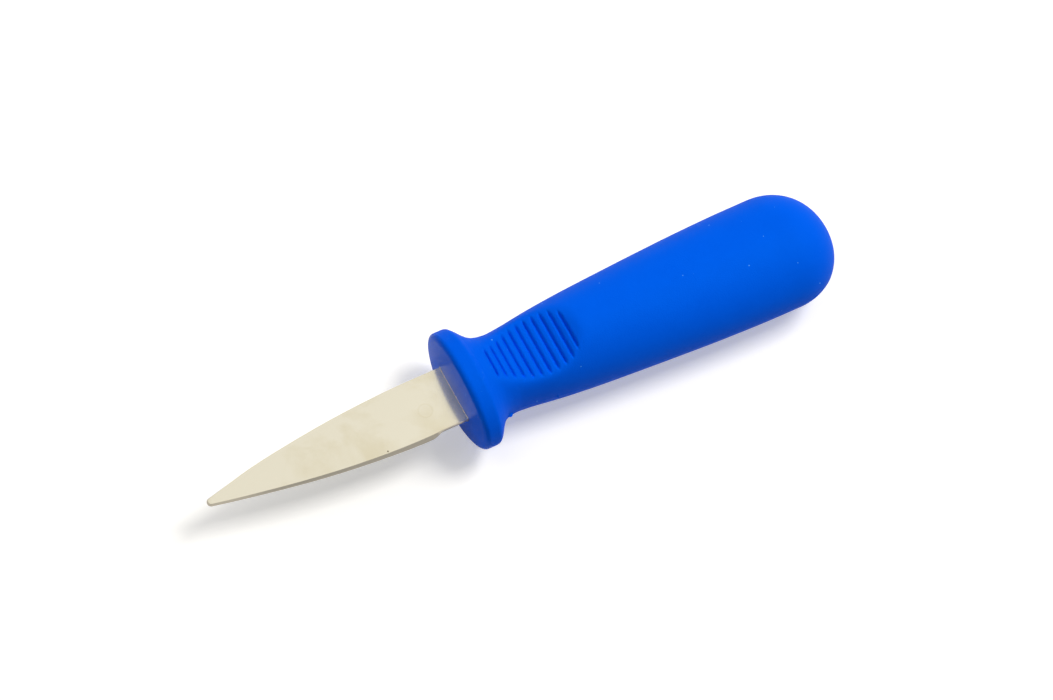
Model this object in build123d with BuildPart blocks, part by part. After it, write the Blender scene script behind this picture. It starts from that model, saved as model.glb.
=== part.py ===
from build123d import *
import os
from math import cos, degrees, radians, sin

# An oyster knife: a short stamped steel blade whose tang is moulded into a one-piece
# plastic handle with an oval guard. X runs along the knife with the tip at +X, Y across
# the blade with the cutting edge at +Y, and Z up. The knife lies flat over Z = 0.

# Blade, in front of the guard
blade_length = 64.3
blade_thickness = 1.5
ricasso_width = 14.8
ricasso_length = 6.0
heel_step_length = 3.8
belly_width = 8.3
tip_radius = 1.05
tip_height = 0.33
tip_angle = 12.5
edge_land = 0.3
side_bevel = 0.12
heel_bevel = 0.85
tip_bevel = 0.3

# Spine and cutting edge: shares of the blade's length, then of its half widths
spine_shares = [(0.30, 0.954), (0.48, 0.836), (0.66, 0.646), (0.84, 0.381)]
edge_shares = [(0.84, 0.394), (0.67, 0.628), (0.495, 0.818), (0.317, 0.945)]
spine_straight_share = 0.125

# Tang, hidden in the handle and a little thicker than the ground blade
tang_thickness = 1.6
tang_width = 9.0
tang_length = 62.0
shoulder_depth = 3.0
tang_corner_radius = 2.0
key_hole_diameter = 4.5
key_hole_spacing = 22.0
key_hole_station = 20.0

# Handle and its guard
handle_length = 102.8
guard_width = 30.9
guard_depth = 23.5
guard_rim = 4.2
guard_crown_radius = 118.0
guard_round = 1.8
neck_station = 13.0
neck_width = 19.8
neck_depth = 20.7
grip_width = 29.8
grip_depth = 22.2
butt_length = 14.8

# Oval sections: share of the way, then how much of the change in width and in depth is left
flare_shares = [
    (0.10, 0.955, 0.83),
    (0.27, 0.61, 0.35),
    (0.44, 0.25, 0.10),
    (0.60, 0.11, 0.03),
    (0.78, 0.03, 0.0),
]
grip_shares = [
    (0.10, 0.83, 0.65),
    (0.20, 0.648, 0.30),
    (0.35, 0.45, 0.10),
    (0.55, 0.248, 0.0),
    (0.75, 0.084, 0.0),
    (0.90, 0.014, 0.0),
]

# Thumb rests, one in each broad side of the neck
rest_station = 19.3
rest_radius = 21.0
rest_depth = 4.0
groove_count = 11
groove_pitch = 2.15
groove_radius = 0.55
groove_depth = 0.42
groove_reach = 7.3

# Each hollow's centre stands out over the knife's side, and the grooves lie on an arc round it
groove_ring = rest_radius + groove_depth - groove_radius
groove_angle = degrees(groove_pitch / rest_radius)
groove_sweep = groove_angle * (groove_count - 1)

# The knife's axis lies half the guard's depth up, and the whole length is centred on X = 0
face_x = (handle_length - blade_length) / 2
axis_z = guard_depth / 2
knife_plane = Plane((face_x, 0, axis_z))
rest_height = grip_depth / 2 - rest_depth + rest_radius
rest_centres = [(face_x - rest_station, 0, axis_z + side * rest_height) for side in (1, -1)]


def cross_plane(station):
    """The plane across the knife at this distance behind the guard's face."""
    return Plane((face_x - station, 0, axis_z), x_dir=(0, 1, 0), z_dir=(-1, 0, 0))


def blade_outline(plane, spine_bevel, edge_bevel, point_bevel):
    """The blade's outline on a plane, drawn in by each bevel, wider at the heel than at the tip."""
    half_width = ricasso_width / 2
    point = tip_radius - point_bevel
    centre_x = blade_length - tip_radius
    heel_x = ricasso_length + heel_step_length
    rise = sin(radians(tip_angle))
    run = cos(radians(tip_angle))
    tip_spine = (centre_x + point * rise, tip_height - point * run)
    tip_edge = (centre_x + point * rise, tip_height + point * run)
    spine_start = (blade_length * spine_straight_share, spine_bevel - half_width)
    spine = [(x * blade_length, spine_bevel - y * half_width) for x, y in spine_shares]
    taper = [edge_bevel + (point_bevel - edge_bevel) * x for x, y in edge_shares]
    edge = [(x * blade_length, y * belly_width - b) for (x, y), b in zip(edge_shares, taper)]
    heel_top = (heel_x, belly_width - edge_bevel)
    heel_foot = (ricasso_length, half_width - spine_bevel)
    with BuildSketch(plane) as outline:
        with BuildLine():
            Line((0, half_width - spine_bevel), (0, spine_bevel - half_width))
            Line((0, spine_bevel - half_width), spine_start)
            Spline(spine_start, *spine, tip_spine, tangents=[(1, 0), (run, rise)])
            ThreePointArc(tip_spine, (centre_x + point, tip_height), tip_edge)
            Spline(tip_edge, *edge, heel_top, tangents=[(-run, rise), (-1, 0)])
            Spline(heel_top, heel_foot, tangents=[(-1, 0), (-1, 0)])
            Line(heel_foot, (0, half_width - spine_bevel))
        make_face()
    return outline.sketch


# Blade: a blunt land along the middle, ground bevels up to each flat, and the tang
with BuildPart() as blade:
    blank = blade_outline(knife_plane.offset(-edge_land / 2), 0, 0, 0)
    extrude(blank, amount=edge_land)
    lower = blade_outline(knife_plane.offset(edge_land / 2), 0, 0, 0)
    upper = blade_outline(knife_plane.offset(blade_thickness / 2), side_bevel, heel_bevel, tip_bevel)
    bevels = loft([lower, upper], ruled=True)
    mirror(bevels, about=knife_plane)
    with BuildSketch(knife_plane):
        with Locations((-shoulder_depth / 2, 0)):
            Rectangle(shoulder_depth, ricasso_width)
        with Locations((-tang_length / 2, 0)):
            RectangleRounded(tang_length, tang_width, tang_corner_radius)
        with Locations((-key_hole_station, 0), (-key_hole_station - key_hole_spacing, 0)):
            Circle(key_hole_diameter / 2, mode=Mode.SUBTRACT)
    extrude(amount=tang_thickness / 2, both=True)

blade.part.label = "blade"

# Butt: half an ellipse turned round the axis, then flattened across the broad sides
with BuildPart() as round_butt:
    with BuildSketch(knife_plane):
        with Locations((butt_length - handle_length, 0)):
            Ellipse(butt_length, grip_width / 2)
            with Locations((-butt_length, grip_width / 2)):
                Rectangle(2 * butt_length, grip_width, mode=Mode.INTERSECT)
    revolve(axis=Axis((face_x, 0, axis_z), (1, 0, 0)))
butt = scale(round_butt.part, by=(1, 1, grip_depth / grip_width), about=(face_x, 0, axis_z))

# Handle: crowned guard, flared neck and swelling grip in one moulding
with BuildPart() as handle:
    with BuildSketch(cross_plane(0)):
        Ellipse(guard_width / 2, guard_depth / 2)
    extrude(amount=guard_rim)
    with Locations((face_x - guard_crown_radius, 0, axis_z)):
        Sphere(guard_crown_radius, mode=Mode.INTERSECT)
    fillet(handle.edges().group_by(Axis.X)[-1], guard_round)

    flare = neck_station - guard_rim
    grip = handle_length - butt_length - neck_station
    sections = [(guard_rim, guard_width, guard_depth)]
    for way, width, depth in flare_shares:
        wide = neck_width + (guard_width - neck_width) * width
        deep = neck_depth + (guard_depth - neck_depth) * depth
        sections.append((guard_rim + flare * way, wide, deep))
    sections.append((neck_station, neck_width, neck_depth))
    for way, width, depth in grip_shares:
        wide = grip_width + (neck_width - grip_width) * width
        deep = grip_depth + (neck_depth - grip_depth) * depth
        sections.append((neck_station + grip * way, wide, deep))
    sections.append((handle_length - butt_length, grip_width, grip_depth))
    ovals = []
    for station, wide, deep in sections:
        with BuildSketch(cross_plane(station), mode=Mode.PRIVATE) as oval:
            Ellipse(wide / 2, deep / 2)
        ovals.append(oval.sketch)
    loft(ovals)

    # Thumb rests: a hollow across each broad side, then grooves that stop short of its edges
    for centre, facing in zip(rest_centres, (-90, 90)):
        rest_plane = Plane(centre, x_dir=(1, 0, 0), z_dir=(0, -1, 0))
        first_angle = facing - groove_sweep / 2
        with BuildSketch(rest_plane):
            Circle(rest_radius)
        extrude(amount=guard_width / 2, both=True, mode=Mode.SUBTRACT)
        with BuildSketch(rest_plane):
            Circle(rest_radius)
            with PolarLocations(groove_ring, groove_count, first_angle, groove_sweep, endpoint=True):
                Circle(groove_radius)
        extrude(amount=groove_reach, both=True, mode=Mode.SUBTRACT)

    # Butt: a round end, flattened to the grip's oval
    add(butt)
    # The plastic is moulded round the tang and through its keying holes
    add(blade.part, mode=Mode.SUBTRACT)

handle.part.label = "handle"

os.makedirs("parts", exist_ok=True)
export_step(blade.part, "parts/blade.step")
export_step(handle.part, "parts/handle.step")
print("blade", blade.part.volume, blade.part.bounding_box())
print("handle", handle.part.volume, handle.part.bounding_box())
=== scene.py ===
import bpy
import math
import numpy as np
from mathutils import Matrix, Vector


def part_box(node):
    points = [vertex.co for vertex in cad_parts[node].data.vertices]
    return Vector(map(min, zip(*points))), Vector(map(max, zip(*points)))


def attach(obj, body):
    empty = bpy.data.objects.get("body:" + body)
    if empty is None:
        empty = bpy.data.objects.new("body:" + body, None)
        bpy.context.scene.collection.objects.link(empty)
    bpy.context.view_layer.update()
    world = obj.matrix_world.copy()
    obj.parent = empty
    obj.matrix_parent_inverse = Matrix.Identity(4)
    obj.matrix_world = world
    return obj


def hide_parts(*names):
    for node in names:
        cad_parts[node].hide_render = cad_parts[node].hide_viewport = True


# An oyster knife lying on a pale floor. Metres, in the CAD's own frame: X points to the tip,
# Y to the cutting edge and Z up.
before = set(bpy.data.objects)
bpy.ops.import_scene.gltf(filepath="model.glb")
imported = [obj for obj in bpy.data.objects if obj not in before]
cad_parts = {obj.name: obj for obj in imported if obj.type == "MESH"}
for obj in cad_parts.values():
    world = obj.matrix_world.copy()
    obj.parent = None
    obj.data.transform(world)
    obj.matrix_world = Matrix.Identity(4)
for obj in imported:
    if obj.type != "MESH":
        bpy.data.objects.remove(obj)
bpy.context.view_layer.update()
print("frame loaded")

mm = 0.001
bladeLength = 64.3 * mm  # in front of the guard
bladeLow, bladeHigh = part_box("blade")
axisZ = (bladeLow.z + bladeHigh.z) / 2  # the knife's axis runs through the middle of the blade
faceX = bladeHigh.x - bladeLength  # the middle of the guard's face
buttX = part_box("handle")[0].x  # the far end of the handle


def hexColour(code):
    # From sRGB to the linear colour that nodes and lights take
    channels = [int(code[i:i + 2], 16) / 255 for i in (1, 3, 5)]
    linear = [c / 12.92 if c <= 0.04045 else ((c + 0.055) / 1.055) ** 2.4 for c in channels]
    return (*linear, 1.0)


def addNode(tree, kind, settings=None, inputs=None):
    # An input goes by its name or number, and takes a value or another node's output. A Mix node
    # takes its two colours at inputs 6 and 7, and gives the mixed one at output 2.
    node = tree.nodes.new(kind)
    for name, value in (settings or {}).items():
        setattr(node, name, value)
    for name, value in (inputs or {}).items():
        if isinstance(value, bpy.types.NodeSocket):
            tree.links.new(value, node.inputs[name])
        else:
            node.inputs[name].default_value = value
    return node


def newMaterial(name):
    material = bpy.data.materials.new(name)
    material.use_nodes = True
    material.node_tree.nodes.clear()
    return material, material.node_tree


def meshPiece(name, points, faces, material, smooth=True):
    mesh = bpy.data.meshes.new(name)
    mesh.from_pydata(points, [], faces)
    mesh.update()
    mesh.polygons.foreach_set("use_smooth", [smooth] * len(mesh.polygons))
    mesh.materials.append(material)
    piece = bpy.data.objects.new(name, mesh)
    bpy.context.scene.collection.objects.link(piece)
    return piece


# Polypropylene, injection moulded. The mould is spark eroded behind the guard's face, so the grip
# has a fine even grain and only a soft sheen, and it is polished in front, where the face mirrors
# the blade. Handling has left pale specks all over and rubbed the guard and neck.
plasticLook = {
    "colour": "#005EEE",
    "shade": "#0059E7",
    "rubbedColour": "#2F7DF2",
    "speckColour": "#4E96F2",
    "sheen": "#00E0FF",  # this blue is past what a screen shows, so its sheen carries no red
    "specular": 0.03,  # far under the usual 0.5, because the grain scatters most of the shine
    "ior": 1.49,
    "roughness": 0.48,
    "faceRoughness": 0.17,
    "polishDepth": 1.8 * mm,  # how far round its rim the face is polished
    "polishFade": 0.4 * mm,  # before and after that, where the polish gives way to grain
    "mottle": 9 * mm,  # from the colour to the shade and back
    "grain": 0.34 * mm,  # drawn three times as coarse as the real one, so that it shows
    "grainHeight": 0.045 * mm,
    "rub": 1.8 * mm,  # a rubbed patch
    "rubRange": (0.6, 0.74),  # of the noise: whole below, rubbed above
    "rubPlace": (4 * mm, 17 * mm),  # behind the guard's face: rubbed most, and no longer rubbed
    "rubMost": 0.5,  # share of the rubbed colour where it is rubbed most
    "speckSpacing": 2.3 * mm,
    "speckless": 0.7,  # share of the places that have no speck
    "speckSize": 0.1,  # radius of the largest, as a share of the spacing
}


def mouldedPolypropylene():
    look = plasticLook
    material, tree = newMaterial("mouldedPolypropylene")
    place = addNode(tree, "ShaderNodeTexCoord").outputs["Object"]
    along = addNode(tree, "ShaderNodeSeparateXYZ", inputs={0: place}).outputs["X"]
    mottle = addNode(tree, "ShaderNodeTexNoise", inputs={
        "Vector": place, "Scale": 1 / look["mottle"], "Detail": 3.0})
    colour = addNode(tree, "ShaderNodeMix", {"data_type": "RGBA"}, {
        0: mottle.outputs["Fac"], 6: hexColour(look["shade"]), 7: hexColour(look["colour"])})

    rub = addNode(tree, "ShaderNodeTexNoise", inputs={
        "Vector": place, "Scale": 1 / look["rub"], "Detail": 6.0, "Roughness": 0.7})
    wholeBelow, rubbedAbove = look["rubRange"]
    rubbed = addNode(tree, "ShaderNodeMapRange", inputs={
        "Value": rub.outputs["Fac"], "From Min": wholeBelow, "From Max": rubbedAbove})
    mostAt, noneAt = look["rubPlace"]
    nearGuard = addNode(tree, "ShaderNodeMapRange", inputs={
        "Value": along, "From Min": faceX - noneAt, "From Max": faceX - mostAt,
        "To Min": 0.0, "To Max": look["rubMost"]})
    rubShare = addNode(tree, "ShaderNodeMath", {"operation": "MULTIPLY"}, {
        0: rubbed.outputs[0], 1: nearGuard.outputs[0]})
    worn = addNode(tree, "ShaderNodeMix", {"data_type": "RGBA"}, {
        0: rubShare.outputs[0], 6: colour.outputs[2], 7: hexColour(look["rubbedColour"])})

    specks = addNode(tree, "ShaderNodeTexVoronoi", inputs={
        "Vector": place, "Scale": 1 / look["speckSpacing"], "Randomness": 1.0})
    chance = addNode(tree, "ShaderNodeSeparateColor", inputs={0: specks.outputs["Color"]})
    speckSize = addNode(tree, "ShaderNodeMapRange", inputs={
        "Value": chance.outputs["Red"], "From Min": look["speckless"], "From Max": 1.0,
        "To Min": 0.0, "To Max": look["speckSize"]})
    speck = addNode(tree, "ShaderNodeMath", {"operation": "LESS_THAN"}, {
        0: specks.outputs["Distance"], 1: speckSize.outputs[0]})
    speckled = addNode(tree, "ShaderNodeMix", {"data_type": "RGBA"}, {
        0: speck.outputs[0], 6: worn.outputs[2], 7: hexColour(look["speckColour"])})

    polishStart = faceX - look["polishDepth"]
    roughness = addNode(tree, "ShaderNodeMapRange", inputs={
        "Value": along, "From Min": polishStart - look["polishFade"],
        "From Max": polishStart + look["polishFade"],
        "To Min": look["roughness"], "To Max": look["faceRoughness"]})
    grain = addNode(tree, "ShaderNodeTexNoise", inputs={
        "Vector": place, "Scale": 1 / look["grain"], "Detail": 2.0})
    bump = addNode(tree, "ShaderNodeBump", inputs={
        "Strength": 1.0, "Distance": look["grainHeight"], "Height": grain.outputs["Fac"]})
    shader = addNode(tree, "ShaderNodeBsdfPrincipled", inputs={
        "Base Color": speckled.outputs[2], "Roughness": roughness.outputs[0],
        "Normal": bump.outputs[0], "IOR": look["ior"], "Specular IOR Level": look["specular"],
        "Specular Tint": hexColour(look["sheen"])})
    addNode(tree, "ShaderNodeOutputMaterial", inputs={0: shader.outputs[0]})
    return material


# Stainless steel, blanked from rolled sheet and tumbled: nearly a mirror, warm and a little darker
# where it has stained, with a few pits and a ring left by a drop of water. The bevels are ground
# afterwards, so they are greyer and duller, with lines along the edge.
steelLook = {
    "clean": "#DBD6C4",
    "stained": "#D1C9AF",
    "pitColour": "#8C8370",
    "ground": "#C9C1B1",
    "roughness": 0.14,
    "groundRoughness": 0.3,
    "stain": 13 * mm,  # from one stain to the next
    "stainRange": (0.47, 0.76),  # of the noise: clean below, stained above
    "dropPlace": (27.4 * mm, 1.2 * mm),  # X and Y
    "dropRadius": 1.7 * mm,
    "dropEdge": 0.16 * mm,  # half the ring's width
    "dropStain": 0.2,  # share of the stained colour
    "pitSpacing": 4.5 * mm,
    "pitless": 0.4,  # share of the places that have no pit
    "pitSize": 0.06,  # radius of the largest, as a share of the spacing
    "flatHeight": 0.75 * mm,  # the flats, above and below the blade's middle
    "groundFade": (0.05 * mm, 0.01 * mm),  # short of that height, where the ground finish ends
    "grit": 0.18 * mm,
    "gritHeight": 0.002 * mm,
    "gritStrength": 0.08,
    "grindLine": 0.09 * mm,
    "grindLength": 3 * mm,
    "grindHeight": 0.004 * mm,
    "grindStrength": 0.5,
}


def tumbledStainless():
    look = steelLook
    material, tree = newMaterial("tumbledStainless")
    place = addNode(tree, "ShaderNodeTexCoord").outputs["Object"]
    stain = addNode(tree, "ShaderNodeTexNoise", inputs={
        "Vector": place, "Scale": 1 / look["stain"], "Detail": 4.0, "Roughness": 0.55,
        "Distortion": 0.4})
    cleanBelow, stainedAbove = look["stainRange"]
    stained = addNode(tree, "ShaderNodeMapRange", inputs={
        "Value": stain.outputs["Fac"], "From Min": cleanBelow, "From Max": stainedAbove})

    dropCentre = (*look["dropPlace"], axisZ + look["flatHeight"])
    fromDrop = addNode(tree, "ShaderNodeVectorMath", {"operation": "DISTANCE"}, {
        0: place, 1: dropCentre})
    ring = addNode(tree, "ShaderNodeMath", {"operation": "COMPARE"}, {
        0: fromDrop.outputs["Value"], 1: look["dropRadius"], 2: look["dropEdge"]})
    darkened = addNode(tree, "ShaderNodeMath", {"operation": "MULTIPLY_ADD"}, {
        0: ring.outputs[0], 1: look["dropStain"], 2: stained.outputs[0]})
    colour = addNode(tree, "ShaderNodeMix", {"data_type": "RGBA"}, {
        0: darkened.outputs[0], 6: hexColour(look["clean"]), 7: hexColour(look["stained"])})

    pits = addNode(tree, "ShaderNodeTexVoronoi", inputs={
        "Vector": place, "Scale": 1 / look["pitSpacing"], "Randomness": 1.0})
    chance = addNode(tree, "ShaderNodeSeparateColor", inputs={0: pits.outputs["Color"]})
    pitSize = addNode(tree, "ShaderNodeMapRange", inputs={
        "Value": chance.outputs["Red"], "From Min": look["pitless"], "From Max": 1.0,
        "To Min": 0.0, "To Max": look["pitSize"]})
    pit = addNode(tree, "ShaderNodeMath", {"operation": "LESS_THAN"}, {
        0: pits.outputs["Distance"], 1: pitSize.outputs[0]})
    pitted = addNode(tree, "ShaderNodeMix", {"data_type": "RGBA"}, {
        0: pit.outputs[0], 6: colour.outputs[2], 7: hexColour(look["pitColour"])})

    # The ground bevels lie between the two flats
    level = addNode(tree, "ShaderNodeSeparateXYZ", inputs={0: place}).outputs["Z"]
    aboveMiddle = addNode(tree, "ShaderNodeMath", {"operation": "SUBTRACT"}, {0: level, 1: axisZ})
    fromMiddle = addNode(tree, "ShaderNodeMath", {"operation": "ABSOLUTE"}, {
        0: aboveMiddle.outputs[0]})
    fadeStart, fadeEnd = look["groundFade"]
    ground = addNode(tree, "ShaderNodeMapRange", inputs={
        "Value": fromMiddle.outputs[0], "From Min": look["flatHeight"] - fadeStart,
        "From Max": look["flatHeight"] - fadeEnd, "To Min": 1.0, "To Max": 0.0})
    finished = addNode(tree, "ShaderNodeMix", {"data_type": "RGBA"}, {
        0: ground.outputs[0], 6: pitted.outputs[2], 7: hexColour(look["ground"])})
    roughness = addNode(tree, "ShaderNodeMapRange", inputs={
        "Value": ground.outputs[0], "To Min": look["roughness"], "To Max": look["groundRoughness"]})

    grit = addNode(tree, "ShaderNodeTexNoise", inputs={
        "Vector": place, "Scale": 1 / look["grit"], "Detail": 2.0})
    gritBump = addNode(tree, "ShaderNodeBump", inputs={
        "Strength": look["gritStrength"], "Distance": look["gritHeight"],
        "Height": grit.outputs["Fac"]})
    fine, long = 1 / look["grindLine"], 1 / look["grindLength"]
    stretched = addNode(tree, "ShaderNodeMapping", inputs={
        "Vector": place, "Scale": (long, fine, fine)})
    lines = addNode(tree, "ShaderNodeTexNoise", inputs={
        "Vector": stretched.outputs[0], "Scale": 1.0, "Detail": 1.0})
    grinding = addNode(tree, "ShaderNodeMath", {"operation": "MULTIPLY"}, {
        0: lines.outputs["Fac"], 1: ground.outputs[0]})
    bump = addNode(tree, "ShaderNodeBump", inputs={
        "Strength": look["grindStrength"], "Distance": look["grindHeight"],
        "Height": grinding.outputs[0], "Normal": gritBump.outputs[0]})
    shader = addNode(tree, "ShaderNodeBsdfPrincipled", inputs={
        "Base Color": finished.outputs[2], "Roughness": roughness.outputs[0],
        "Normal": bump.outputs[0], "Metallic": 1.0})
    addNode(tree, "ShaderNodeOutputMaterial", inputs={0: shader.outputs[0]})
    return material


# Handle: ovals threaded on the knife's axis, from the middle of the guard's face to the butt
handleShape = {
    "crownRadius": 118 * mm,
    "faceWidth": 13.7 * mm,  # half sizes of the face inside its rounded edge
    "faceDepth": 10.0 * mm,
    # How far each oval lies behind the middle of the face, its half width and half depth, in mm
    "ovals": [
        (1.9, 15.45, 11.75), (4.2, 15.45, 11.75), (4.75, 15.35, 11.62), (5.3, 14.9, 11.3),
        (6.0, 14.1, 10.85), (7.0, 12.65, 10.52), (8.1, 11.35, 10.38), (9.4, 10.5, 10.33),
        (11.0, 10.05, 10.33), (13.0, 9.88, 10.35), (15.0, 10.03, 10.42), (18.0, 10.37, 10.56),
        (21.5, 10.88, 10.72), (27.0, 11.57, 10.9), (34.0, 12.24, 11.02), (44.0, 12.98, 11.08),
        (56.0, 13.77, 11.1), (68.0, 14.43, 11.1), (80.0, 14.82, 11.1), (88.0, 14.9, 11.1),
    ],
    "buttPower": 2.15,  # 2 is an ellipse, and more is squarer
    "around": 144,  # points in a ring, besides those beside the parting line
    "partingAngles": (0.35, 0.8, 1.4),  # degrees to each side of it
    "faceRings": 14,
    "firstFaceRing": 0.08,  # share of the face's half sizes
    "edgeRings": 8,
    "edgeGap": 0.3 * mm,  # from the rounded edge to the next ring
    "ribRingStep": 0.11 * mm,
    "ribEnd": 32.5 * mm,  # behind the thumb rests, where the rings grow coarse
    "ringStep": 0.9 * mm,
    "buttRings": 33,
    "partingHeight": 0.05 * mm,
    "partingWidth": 0.22 * mm,
    "partingFade": 3,  # the line fades where one part in this many of the butt's width is left
    # Flash left on the mould's parting line, in mm: how far behind the face, length, height, side
    "flash": [(9.9, 1.6, 0.6, 1), (22.3, 0.7, 0.22, 1), (92.0, 1.7, 0.12, 1), (61.0, 1.2, 0.1, -1)],
    "flashWidth": 0.3 * mm,
}


def smoothThrough(stations, values, wanted):
    # A curve through the ovals' sizes that never overshoots them
    h = np.diff(stations)
    slope = np.diff(values) / h
    tangent = np.zeros(len(values))
    tangent[0], tangent[-1] = slope[0], slope[-1]
    for i in range(1, len(values) - 1):
        if slope[i - 1] * slope[i] > 0:
            before, after = 2 * h[i] + h[i - 1], h[i] + 2 * h[i - 1]
            tangent[i] = (before + after) / (before / slope[i - 1] + after / slope[i])
    i = np.clip(np.searchsorted(stations, wanted) - 1, 0, len(h) - 1)
    t = (wanted - stations[i]) / h[i]
    start = (1 + 2 * t) * (1 - t) ** 2 * values[i] + t * (1 - t) ** 2 * h[i] * tangent[i]
    end = t * t * (3 - 2 * t) * values[i + 1] + t * t * (t - 1) * h[i] * tangent[i + 1]
    return start + end


def faceRing(width, depth, angles):
    # The guard's face is a shallow dome
    y, z = width * np.cos(angles), depth * np.sin(angles)
    return (y * y + z * z) / (2 * handleShape["crownRadius"]), y, z


def flashOn(station, y, z):
    # A fine line all round where the mould parts, with a few larger bits of flash
    shape = handleShape
    lift = shape["partingHeight"] * np.exp(-(z / shape["partingWidth"]) ** 2)
    for place, length, height, side in shape["flash"]:
        share = (station - place * mm) / (length * mm / 2)
        if abs(share) < 1:
            bump = height * mm * (1 - share ** 2) * np.exp(-(z / shape["flashWidth"]) ** 2)
            lift = lift + np.where(y * side > 0, bump, 0)
    return np.sign(y) * lift


def handleRings(angles):
    shape = handleShape
    stations, widths, depths = (np.array(shape["ovals"]) * mm).T
    rings = []
    # The crowned face, and the quarter turn that rounds its edge
    for share in np.linspace(shape["firstFaceRing"], 1, shape["faceRings"]):
        rings.append(faceRing(share * shape["faceWidth"], share * shape["faceDepth"], angles))
    rimX, rimY, rimZ = rings[-1]
    for turn in np.linspace(0, math.pi / 2, shape["edgeRings"] + 1)[1:]:
        out, back = math.sin(turn), 1 - math.cos(turn)
        y = rimY + (widths[0] * np.cos(angles) - rimY) * out
        z = rimZ + (depths[0] * np.sin(angles) - rimZ) * out
        rings.append((rimX + (stations[0] - rimX) * back, y, z))
    # Neck and grip, with rings close together where the thumb rests are carved
    fine = np.arange(stations[0] + shape["edgeGap"], shape["ribEnd"], shape["ribRingStep"])
    coarse = np.arange(shape["ribEnd"], stations[-1], shape["ringStep"])
    for station in (*fine, *coarse):
        y = smoothThrough(stations, widths, station) * np.cos(angles)
        z = smoothThrough(stations, depths, station) * np.sin(angles)
        rings.append((np.full(len(angles), station), y + flashOn(station, y, z), z))
    # The butt, closing in a rounded cap
    last = stations[-1]
    for turn in np.linspace(0, math.pi / 2, shape["buttRings"] + 1)[:-1]:
        along = math.sin(turn) ** (2 / shape["buttPower"])
        left = math.cos(turn) ** (2 / shape["buttPower"])
        station = last + (faceX - buttX - last) * along
        y, z = left * widths[-1] * np.cos(angles), left * depths[-1] * np.sin(angles)
        ridge = flashOn(station, y, z) * min(1, left * shape["partingFade"])
        rings.append((np.full(len(angles), station), y + ridge, z))
    return rings


def handleMesh(material):
    even = np.linspace(0, 2 * math.pi, handleShape["around"], endpoint=False)
    near = np.radians(handleShape["partingAngles"])
    close = np.concatenate([near, -near, math.pi + near, math.pi - near]) % (2 * math.pi)
    angles = np.sort(np.concatenate([even, close]))
    rings = handleRings(angles)
    # One point closes the rings at each end
    points = [(faceX, 0, axisZ)]
    for station, y, z in rings:
        points.extend(zip(faceX - station, y, z + axisZ))
    count = len(angles)
    faces = [(0, 1 + i, 1 + (i + 1) % count) for i in range(count)]
    for ring in range(len(rings) - 1):
        a, b = 1 + ring * count, 1 + (ring + 1) * count
        faces += [(a + i, b + i, b + (i + 1) % count, a + (i + 1) % count) for i in range(count)]
    points.append((buttX, 0, axisZ))
    a, end = 1 + (len(rings) - 1) * count, len(points) - 1
    faces += [(a + (i + 1) % count, a + i, end) for i in range(count)]
    return meshPiece("handleMoulding", points, faces, material)


# Thumb rests: a hollow across each broad side of the neck, with rounded ribs between fine grooves
restShape = {
    "Hollow Station": 19.3 * mm,  # behind the guard's face
    "Hollow Radius": 21 * mm,
    "Hollow Floor": 7.1 * mm,  # from the knife's axis
    "Hollow Reach": 0.97,  # nothing moves past this share of the radius
    "Crease": 2.0 * mm,  # where the hollow's edge melts into the neck
    "Groove Count": 11,
    "Groove Pitch": 2.15 * mm,
    "Groove Width": 2.0 * mm,
    "Groove Depth": 0.85 * mm,
    "Groove End": 1.5 * mm,  # where a groove runs out at each end
    "Rib Roundness": 3.0,  # more makes rounder ribs and narrower grooves
}
# Half the length of a groove, in mm, from the first behind the guard (0) to the last (1)
grooveReach = [
    (0, 4.3), (0.1, 4.9), (0.3, 6.5), (0.5, 7.6), (0.65, 7.9), (0.8, 7.6), (0.9, 7.0), (1, 5.6),
]


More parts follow.
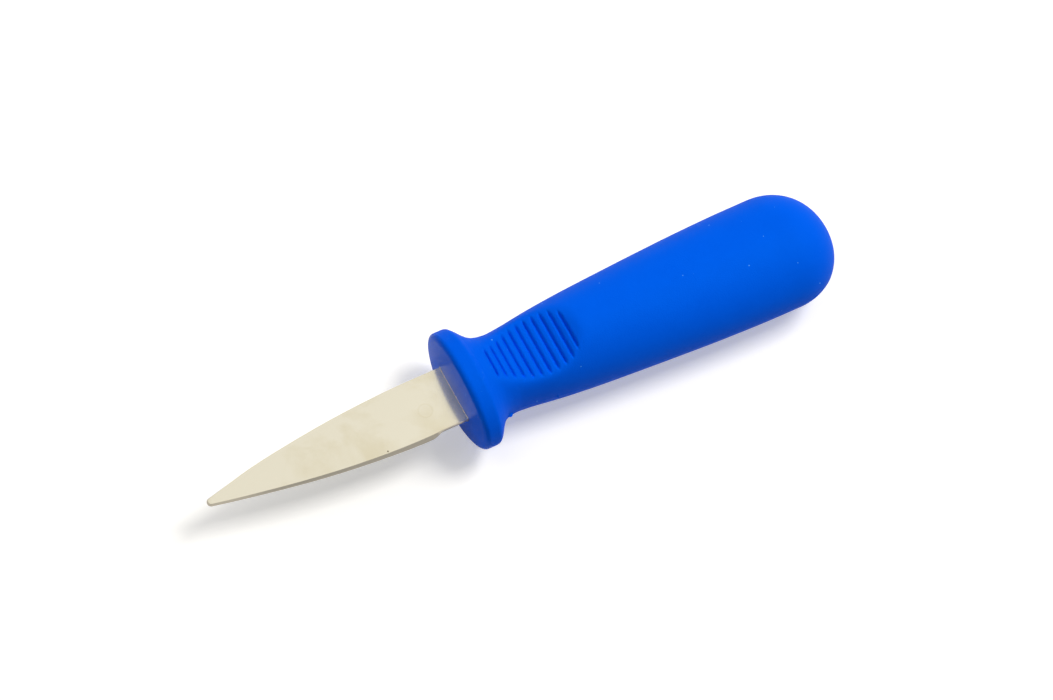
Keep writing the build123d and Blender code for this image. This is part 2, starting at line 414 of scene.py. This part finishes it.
def thumbRestTree(material):
    tree = bpy.data.node_groups.new("thumbRests", "GeometryNodeTree")
    sockets = tree.interface
    sockets.new_socket("Geometry", in_out="INPUT", socket_type="NodeSocketGeometry")
    for name, value in restShape.items():
        kind = "NodeSocketInt" if isinstance(value, int) else "NodeSocketFloat"
        sockets.new_socket(name, in_out="INPUT", socket_type=kind)
    sockets.new_socket("Geometry", in_out="OUTPUT", socket_type="NodeSocketGeometry")
    sizes = addNode(tree, "NodeGroupInput").outputs
    place = addNode(tree, "GeometryNodeInputPosition").outputs[0]
    xyz = addNode(tree, "ShaderNodeSeparateXYZ", inputs={0: place}).outputs
    # All that a sum can take, by name
    known = {name: sizes[name] for name in restShape}
    known.update({"X": xyz["X"], "Y": xyz["Y"], "Z": xyz["Z"]})

    # How long each groove is, and how it runs out at its ends. Both are linked to their sums below.
    lengths = addNode(tree, "ShaderNodeFloatCurve")
    curve = lengths.mapping.curves[0]
    longest = max(length for _, length in grooveReach)
    first = 0.5 / restShape["Groove Count"]  # the middle of the first groove, as a share of the row
    for i, (share, length) in enumerate(grooveReach):
        spot = (first + (1 - 2 * first) * share, length / longest)
        if i < 2:
            curve.points[i].location = spot  # a new curve has two points
        else:
            curve.points.new(*spot)
    lengths.mapping.update()
    fade = addNode(tree, "ShaderNodeMapRange", {"interpolation_type": "SMOOTHSTEP"}, {
        "From Min": 0.0, "From Max": sizes["Groove End"], "To Min": 0.0, "To Max": 1.0})
    known.update({"ofLongest": lengths.outputs[0], "fade": fade.outputs[0]})

    # One sum a line: its name, what it does, and the numbers, sizes or other results that it takes
    sums = [
        ("station", "SUBTRACT", faceX, "X"),
        ("along", "SUBTRACT", "station", "Hollow Station"),
        ("height", "SUBTRACT", "Z", axisZ),
        ("side", "SIGN", "height"),
        ("out", "ABSOLUTE", "height"),
        ("across", "ABSOLUTE", "Y"),
        # The hollow is a cylinder across the knife, and its edge melts into the neck
        ("reach", "MULTIPLY", "Hollow Radius", "Hollow Reach"),
        ("away", "ABSOLUTE", "along"),
        ("inside", "LESS_THAN", "away", "reach"),
        ("sine", "DIVIDE", "along", "Hollow Radius"),
        ("turn", "ARCSINE", "sine"),
        ("cosine", "COSINE", "turn"),
        ("rise", "MULTIPLY", "cosine", "Hollow Radius"),
        ("centre", "ADD", "Hollow Floor", "Hollow Radius"),
        ("floor", "SUBTRACT", "centre", "rise"),
        ("hollow", "SMOOTH_MIN", "out", "floor", "Crease"),
        # Grooves stand an even arc apart, and each is a valley between two rounded ribs
        ("arc", "MULTIPLY", "turn", "Hollow Radius"),
        ("halfPitch", "MULTIPLY", "Groove Pitch", 0.5),
        ("minusHalf", "MULTIPLY", "Groove Pitch", -0.5),
        ("wrapped", "WRAP", "arc", "halfPitch", "minusHalf"),
        ("offset", "ABSOLUTE", "wrapped"),
        ("halfWidth", "MULTIPLY", "Groove Width", 0.5),
        ("ofWidth", "DIVIDE", "offset", "halfWidth"),
        ("slope", "SUBTRACT", 1.0, "ofWidth"),
        ("bank", "MAXIMUM", "slope", 0.0),
        ("valley", "POWER", "bank", "Rib Roundness"),
        ("flute", "MULTIPLY", "valley", "Groove Depth"),
        # Only the counted grooves are cut
        ("span", "MULTIPLY", "Groove Pitch", "Groove Count"),
        ("ofSpan", "DIVIDE", "arc", "span"),
        ("share", "ADD", "ofSpan", 0.5),
        ("afterFirst", "GREATER_THAN", "share", 0.0),
        ("beforeLast", "LESS_THAN", "share", 1.0),
        ("counted", "MULTIPLY", "afterFirst", "beforeLast"),
        # Each groove has its own length
        ("halfLength", "MULTIPLY", "ofLongest", longest * mm),
        ("left", "SUBTRACT", "halfLength", "across"),
        ("faded", "MULTIPLY", "flute", "fade"),
        ("cut", "MULTIPLY", "faded", "counted"),
        # The surface moves up or down, towards the knife's axis
        ("carved", "SUBTRACT", "hollow", "cut"),
        ("inwards", "SUBTRACT", "carved", "out"),
        ("sided", "MULTIPLY", "inwards", "side"),
        ("change", "MULTIPLY", "sided", "inside"),
    ]
    for name, operation, *values in sums:
        taken = {i: known.get(value, value) for i, value in enumerate(values)}
        known[name] = addNode(tree, "ShaderNodeMath", {"operation": operation}, taken).outputs[0]
    tree.links.new(known["share"], lengths.inputs["Value"])
    tree.links.new(known["left"], fade.inputs["Value"])

    shift = addNode(tree, "ShaderNodeCombineXYZ", inputs={"Z": known["change"]})
    moved = addNode(tree, "GeometryNodeSetPosition", inputs={
        "Geometry": sizes["Geometry"], "Offset": shift.outputs[0]})
    whole = addNode(tree, "GeometryNodeRealizeInstances", inputs={0: moved.outputs[0]})
    finished = addNode(tree, "GeometryNodeSetMaterial", inputs={
        "Geometry": whole.outputs[0], "Material": material})
    addNode(tree, "NodeGroupOutput", inputs={0: finished.outputs[0]})
    return tree


def handlePiece():
    material = mouldedPolypropylene()
    piece = handleMesh(material)
    rests = piece.modifiers.new("thumbRests", "NODES")
    rests.node_group = thumbRestTree(material)
    for socket in rests.node_group.interface.items_tree:
        if socket.name in restShape:
            rests[socket.identifier] = restShape[socket.name]
    evaluated = piece.evaluated_get(bpy.context.evaluated_depsgraph_get())
    carved = bpy.data.meshes.new_from_object(evaluated)
    piece.modifiers.clear()
    piece.data = carved
    carved.name = "handleMoulding"
    carved.polygons.foreach_set("use_smooth", [True] * len(carved.polygons))
    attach(piece, "root")
    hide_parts("handle")
    print("handle moulded,", len(carved.vertices), "points")


def bladePiece():
    # The blade's own solid has the right shape, and only gets its finish here
    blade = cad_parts["blade"]
    blade.data.materials.clear()
    blade.data.materials.append(tumbledStainless())
    print("blade finished")


# Camera: where the photograph was taken from, with a long lens. Lens and sensor are in mm.
cameraPlace = {
    "from": (237.5 * mm, 255.05 * mm, 737.92 * mm),
    "to": (-1.95 * mm, -2.78 * mm, 11.75 * mm),
    "roll": 16.2267,  # degrees
    "lens": 116.24,
    "sensor": 36,
    "clip": 10 * mm,
}


def setCamera():
    camera = bpy.data.cameras.new("camera")
    camera.lens = cameraPlace["lens"]
    camera.sensor_width = cameraPlace["sensor"]
    camera.clip_start = cameraPlace["clip"]
    holder = bpy.data.objects.new("camera", camera)
    bpy.context.scene.collection.objects.link(holder)
    start, end = Vector(cameraPlace["from"]), Vector(cameraPlace["to"])
    aim = (end - start).to_track_quat("-Z", "Y").to_matrix().to_4x4()
    roll = Matrix.Rotation(math.radians(cameraPlace["roll"]), 4, "Z")
    holder.matrix_world = Matrix.Translation(start) @ aim @ roll
    bpy.context.scene.camera = holder
    print("camera set")


# Lights: the main softbox over the butt shapes the handle, with weak ones beyond the butt and the
# spine. The wide panel overhead is what the blade mirrors, the front one is what the guard's face
# sees in the blade, and the last lights the ground bevel on the darker side. All point at the floor
# under the middle of the knife. Places and sizes are in metres, and power is in watts.
lightSetup = {
    "mainSoftbox": {"from": (-0.60, 0.00, 1.04), "size": (0.45, 0.45), "power": 10.3},
    "buttSoftbox": {"from": (-0.99, -0.02, 0.66), "size": (1.00, 0.70), "power": 1.2},
    "spineSoftbox": {"from": (0.62, -0.74, 0.71), "size": (0.80, 0.70), "power": 2.8},
    "overheadPanel": {"from": (-0.36, -0.40, 1.07), "size": (1.20, 1.20), "power": 2.9},
    "frontPanel": {"from": (0.42, -0.25, 1.09), "size": (0.70, 0.70), "power": 1.9},
    "edgePanel": {"from": (-0.40, 1.04, 0.47), "size": (0.90, 0.90), "power": 0.35},
}
lightColour = "#FFFCF6"
# The room gives little light, but it is pale to look at and in what the steel mirrors
roomLook = {"colour": "#FFFFFF", "light": 0.02, "inShine": 0.42, "seen": 0.9}


def setLights():
    for name, setup in lightSetup.items():
        light = bpy.data.lights.new(name, "AREA")
        light.shape = "RECTANGLE"
        light.size, light.size_y = setup["size"]
        light.energy = setup["power"]
        light.color = hexColour(lightColour)[:3]
        holder = bpy.data.objects.new(name, light)
        bpy.context.scene.collection.objects.link(holder)
        place = Vector(setup["from"])
        aim = (-place).to_track_quat("-Z", "Y").to_matrix().to_4x4()
        holder.matrix_world = Matrix.Translation(place) @ aim
    world = bpy.data.worlds.new("studio")
    world.use_nodes = True
    tree = world.node_tree
    tree.nodes.clear()
    ray = addNode(tree, "ShaderNodeLightPath").outputs
    shine = addNode(tree, "ShaderNodeMath", {"operation": "MULTIPLY_ADD"}, {
        0: ray["Is Glossy Ray"], 1: roomLook["inShine"], 2: roomLook["light"]})
    strength = addNode(tree, "ShaderNodeMath", {"operation": "MULTIPLY_ADD"}, {
        0: ray["Is Camera Ray"], 1: roomLook["seen"], 2: shine.outputs[0]})
    background = addNode(tree, "ShaderNodeBackground", inputs={
        "Color": hexColour(roomLook["colour"]), "Strength": strength.outputs[0]})
    addNode(tree, "ShaderNodeOutputWorld", inputs={0: background.outputs[0]})
    bpy.context.scene.world = world
    bpy.context.scene.view_settings.view_transform = "Standard"
    print("lights set")


# The floor: matt white acrylic sheet, lit from below as on a product table, so that shadows stay
# faint to look at. Little of that light reaches the knife, and its underside stays dark.
floorLook = {
    "colour": "#DADADA",
    "glow": "#FFFFFF",
    "roughness": 0.8,
    "light": 0.16,
    "seen": 0.26,
    "half": 2.0,  # half its side, in metres
}


def setFloor():
    look = floorLook
    material, tree = newMaterial("whiteAcrylic")
    ray = addNode(tree, "ShaderNodeLightPath").outputs
    glow = addNode(tree, "ShaderNodeMath", {"operation": "MULTIPLY_ADD"}, {
        0: ray["Is Camera Ray"], 1: look["seen"], 2: look["light"]})
    shader = addNode(tree, "ShaderNodeBsdfPrincipled", inputs={
        "Base Color": hexColour(look["colour"]), "Roughness": look["roughness"],
        "Emission Color": hexColour(look["glow"]), "Emission Strength": glow.outputs[0]})
    addNode(tree, "ShaderNodeOutputMaterial", inputs={0: shader.outputs[0]})
    half = look["half"]
    corners = [(-half, -half, 0), (half, -half, 0), (half, half, 0), (-half, half, 0)]
    floor = meshPiece("floorBoard", corners, [(0, 1, 2, 3)], material, smooth=False)
    print("floor laid")


setCamera()
handlePiece()
bladePiece()
setFloor()
setLights()
